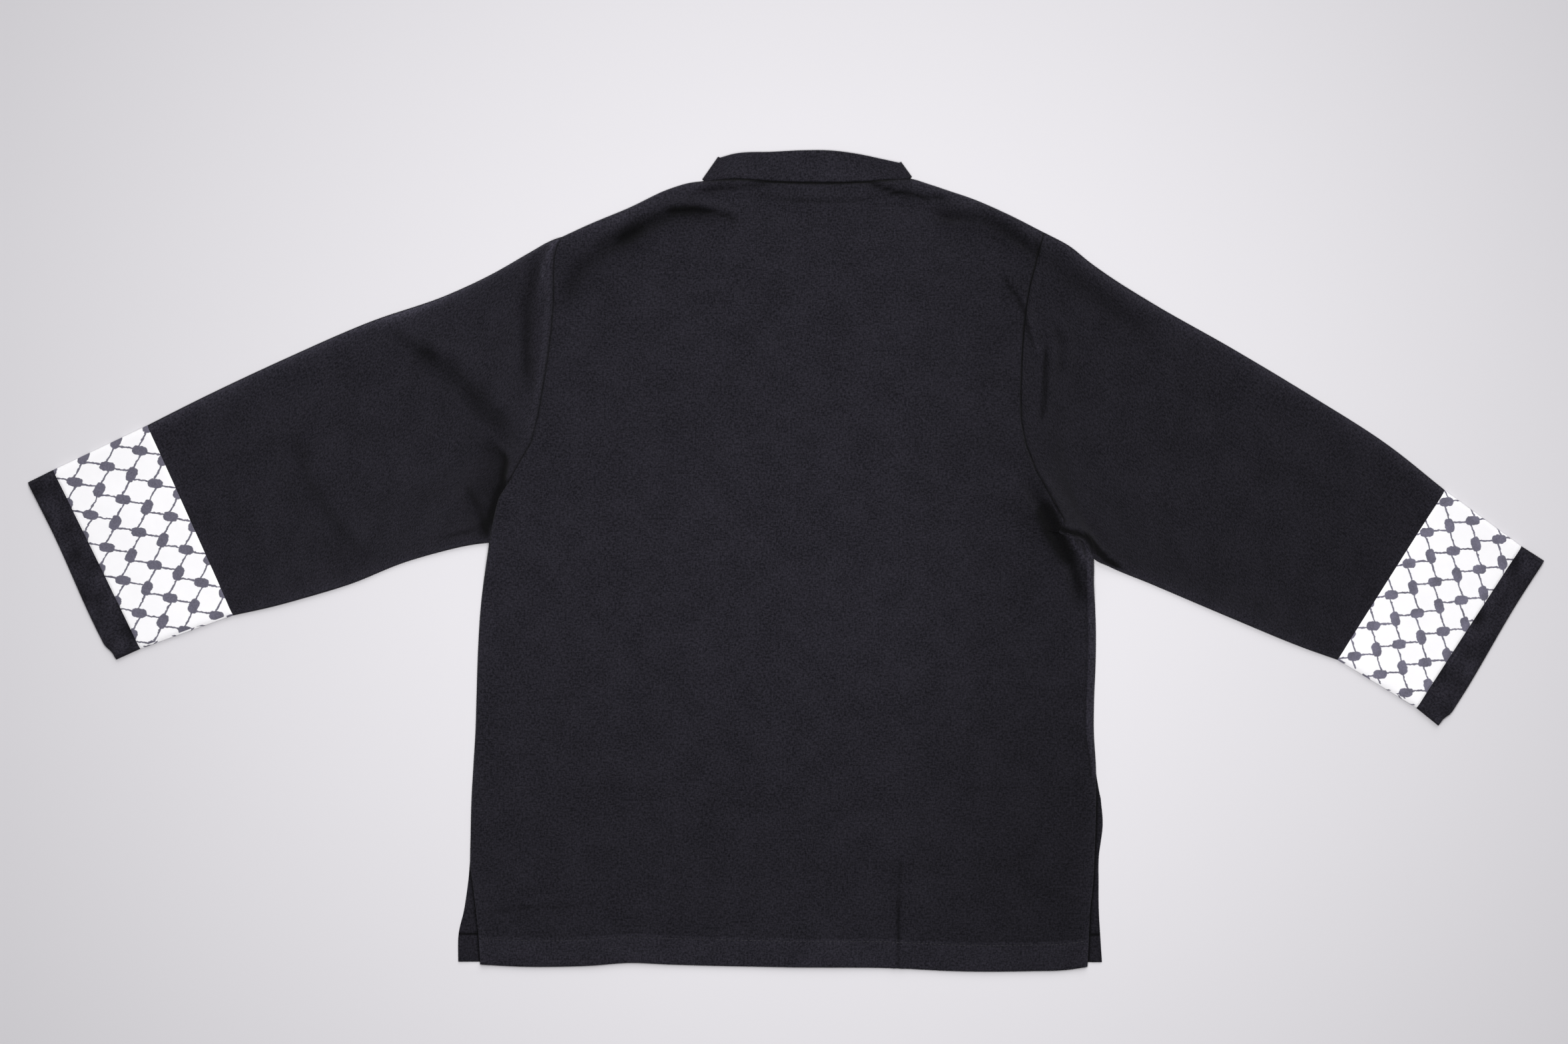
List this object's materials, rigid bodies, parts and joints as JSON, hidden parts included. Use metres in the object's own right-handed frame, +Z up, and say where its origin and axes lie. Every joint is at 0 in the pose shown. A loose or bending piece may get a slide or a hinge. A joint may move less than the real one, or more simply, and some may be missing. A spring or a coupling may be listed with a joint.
{
  "type": "tang suit jacket",
  "caption": "Black stand-collar jacket laid flat, face down: set-in sleeves with white net-pattern bands and dark cuffs, side slits at the hem, straight frogs in front.",
  "frame": {"origin": "centre of the laid-out jacket's footprint, on the surface that it lies on", "axes": "+X across the jacket to the right of a viewer who looks down on its back, +Y from hem to collar, +Z up from the surface"},
  "size_m": [1.4099, 0.7641, 0.0101],
  "materials": {
    "black_cloth": "matt heathered plain weave",
    "white_band": "matt woven white with a dark net pattern",
    "frog_cord": "matt rolled cloth cord"
  },
  "bodies": {
    "root": {"back": "black_cloth", "front_left": "black_cloth", "front_right": "black_cloth", "sleeve_left": "black_cloth", "sleeve_right": "black_cloth", "band_left": "white_band", "band_right": "white_band", "cuff_left": "black_cloth", "cuff_right": "black_cloth", "collar": "black_cloth", "frog_knot_1": "frog_cord", "frog_knot_2": "frog_cord", "frog_knot_3": "frog_cord", "frog_knot_4": "frog_cord", "frog_knot_5": "frog_cord", "frog_bar_1": "frog_cord", "frog_bar_2": "frog_cord", "frog_bar_3": "frog_cord", "frog_bar_4": "frog_cord", "frog_bar_5": "frog_cord", "frog_loop_1": "frog_cord", "frog_loop_2": "frog_cord", "frog_loop_3": "frog_cord", "frog_loop_4": "frog_cord", "frog_loop_5": "frog_cord"}
  },
  "joints": []
}
